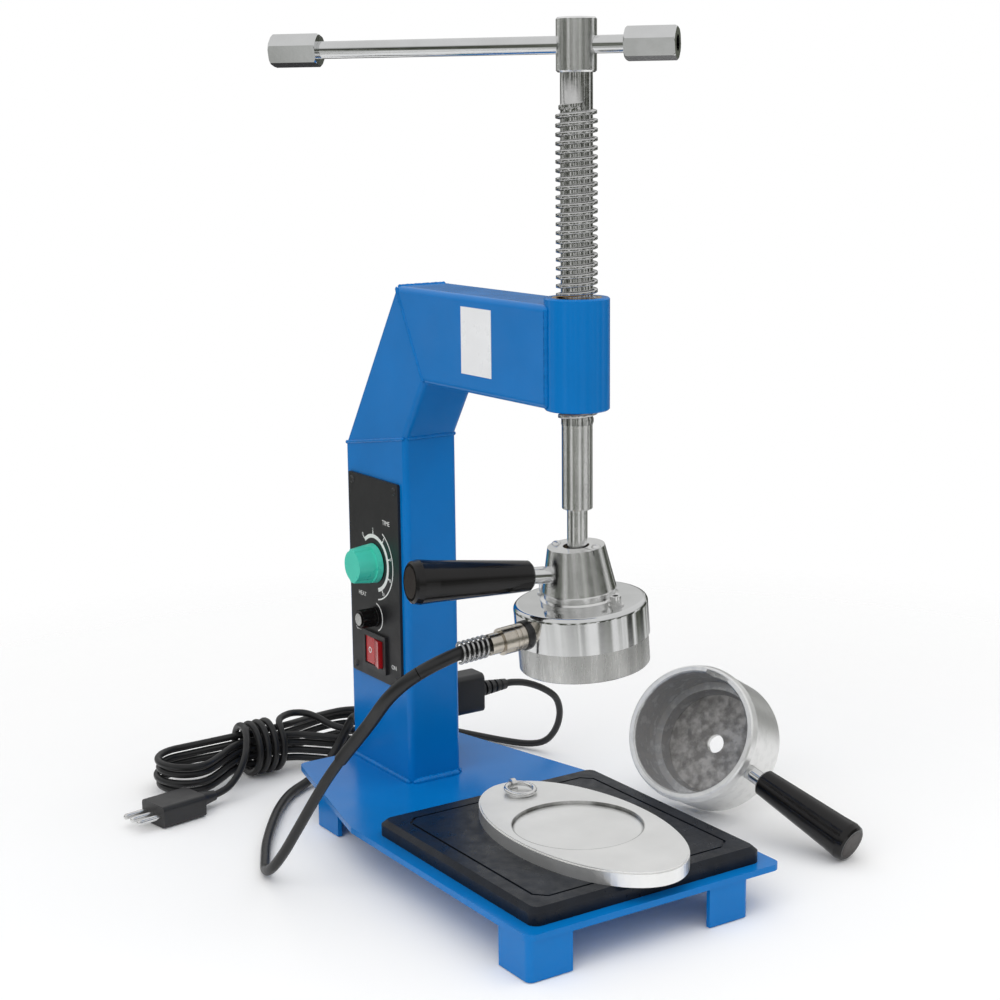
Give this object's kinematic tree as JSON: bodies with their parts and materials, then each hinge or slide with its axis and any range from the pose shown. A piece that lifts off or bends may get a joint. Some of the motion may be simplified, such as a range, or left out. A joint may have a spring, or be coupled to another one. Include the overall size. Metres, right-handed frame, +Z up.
{
  "type": "tire vulcanizer",
  "caption": "Bench press for tyre repair: a lead screw on a bent arm pushes a swivelling electric heater head onto a loose mould plate; control panel on the column, cup mould beside it.",
  "frame": {"origin": "on the surface it stands on, under the middle of the whole outline without its cords", "axes": "+X from the column towards the screw, -Y the side with the control panel, +Z up"},
  "size_m": [0.4341, 0.3864, 0.5215],
  "materials": {
    "blue_paint": "satin enamel",
    "steel": "machined",
    "chrome": "bright",
    "alloy": "turned and cast",
    "black_plastic": "satin",
    "panel_black": "matt print",
    "rubber": "matt",
    "cord": "satin",
    "green_plastic": "gloss",
    "red_plastic": "gloss",
    "bronze": "turned",
    "board": "laminate",
    "pale_plastic": "matt",
    "mica": "pressed sheet"
  },
  "bodies": {
    "frame": {"base_plate": "blue_paint", "foot_front_near": "blue_paint", "foot_front_far": "blue_paint", "foot_rear_near": "blue_paint", "foot_rear_far": "blue_paint", "column": "blue_paint", "elbow": "blue_paint", "arm": "blue_paint", "screw_boss": "blue_paint", "screw_nut": "bronze", "rubber_pad": "rubber", "control_panel": "panel_black", "panel_screws": "steel", "timer_body": "pale_plastic", "temp_control": "board", "switch_body": "panel_black", "power_inlet": "black_plastic", "inlet_screws": "steel", "control_board": "board", "cable_grommet": "rubber", "mains_connector": "black_plastic", "mains_lead": "cord", "mains_hank": "cord", "mains_plug": "black_plastic", "plug_pins": "steel", "heater_cable": "cord"},
    "press_block": {"swivel_cup": "bronze", "heater_sleeve_lower": "cord"},
    "screw": {"lead_screw": "steel", "handle_hub": "chrome", "press_rod": "chrome"},
    "bar": {"tommy_bar": "chrome", "bar_nut_long": "chrome", "bar_nut_short": "chrome"},
    "swivel": {"swivel_ring": "bronze"},
    "head": {"swivel_cone": "chrome", "retaining_plate": "chrome", "retaining_screws": "steel", "cap_screws": "steel", "heater_cover": "chrome", "heating_plate": "alloy", "heating_element": "steel", "insulation_disc": "mica", "thermostat": "pale_plastic", "head_handle_rod": "steel", "head_handle_grip": "black_plastic", "cable_gland": "chrome", "gland_seal": "rubber", "relief_spring": "steel", "heater_sleeve_upper": "cord"},
    "timer": {"timer_knob": "green_plastic"},
    "temperature": {"temp_knob": "black_plastic"},
    "switch": {"rocker": "red_plastic"},
    "mould_plate": {"base_mould": "alloy", "ring_eye": "steel"},
    "ring": {"lifting_ring": "steel"},
    "cup": {"cup_mould": "alloy", "cup_handle_rod": "steel", "cup_handle_grip": "black_plastic"}
  },
  "joints": [
    {"name": "press_travel", "type": "slide", "parent": "frame", "child": "press_block", "axis": [0, 0, 1], "range_m": [-0.095, 0.03], "deforming": ["heater_cable"]},
    {"name": "screw_turn", "type": "hinge", "parent": "press_block", "child": "screw", "pos_m": [0.0855, -0.0385, 0.2095], "axis": [0, 0, 1], "range_deg": [-6850, 2170]},
    {"name": "bar_slide", "type": "slide", "parent": "screw", "child": "bar", "axis": [0.766, 0.6428, 0], "range_m": [-0.016, 0.14]},
    {"name": "head_swivel", "type": "hinge", "parent": "press_block", "child": "swivel", "pos_m": [0.0855, -0.0385, 0.2095], "axis": [0, 0, 1], "range_deg": [-25, 25], "deforming": ["heater_sleeve_lower"]},
    {"name": "head_tilt", "type": "hinge", "parent": "swivel", "child": "head", "pos_m": [0.0855, -0.0385, 0.2095], "axis": [1, 0, 0], "range_deg": [-10, 0.5], "deforming": ["heater_sleeve_upper"]},
    {"name": "timer_turn", "type": "hinge", "parent": "frame", "child": "timer", "pos_m": [-0.1185, -0.0605, 0.1735], "axis": [0, 1, 0], "range_deg": [0, 300]},
    {"name": "temperature_turn", "type": "hinge", "parent": "frame", "child": "temperature", "pos_m": [-0.1185, -0.0605, 0.136], "axis": [0, 1, 0], "range_deg": [-135, 135]},
    {"name": "rocker_tip", "type": "hinge", "parent": "frame", "child": "switch", "pos_m": [-0.1185, -0.059, 0.1115], "axis": [0, 0, 1], "range_deg": [0, 18]},
    {"name": "mould_slide", "type": "slide", "parent": "frame", "child": "mould_plate", "axis": [1, 0, 0], "range_m": [0, 0.1]},
    {"name": "ring_swing", "type": "hinge", "parent": "mould_plate", "child": "ring", "pos_m": [0.0115, -0.0365, 0.0504], "axis": [0, -1, 0], "range_deg": [0, 150]},
    {"name": "cup_lift", "type": "slide", "parent": "frame", "child": "cup", "axis": [0, 0, 1], "range_m": [0, 0.12]}
  ],
  "couplings": [
    {"joint": "screw_turn", "follows": "press_travel", "rad_per_m": 1256.6}
  ]
}
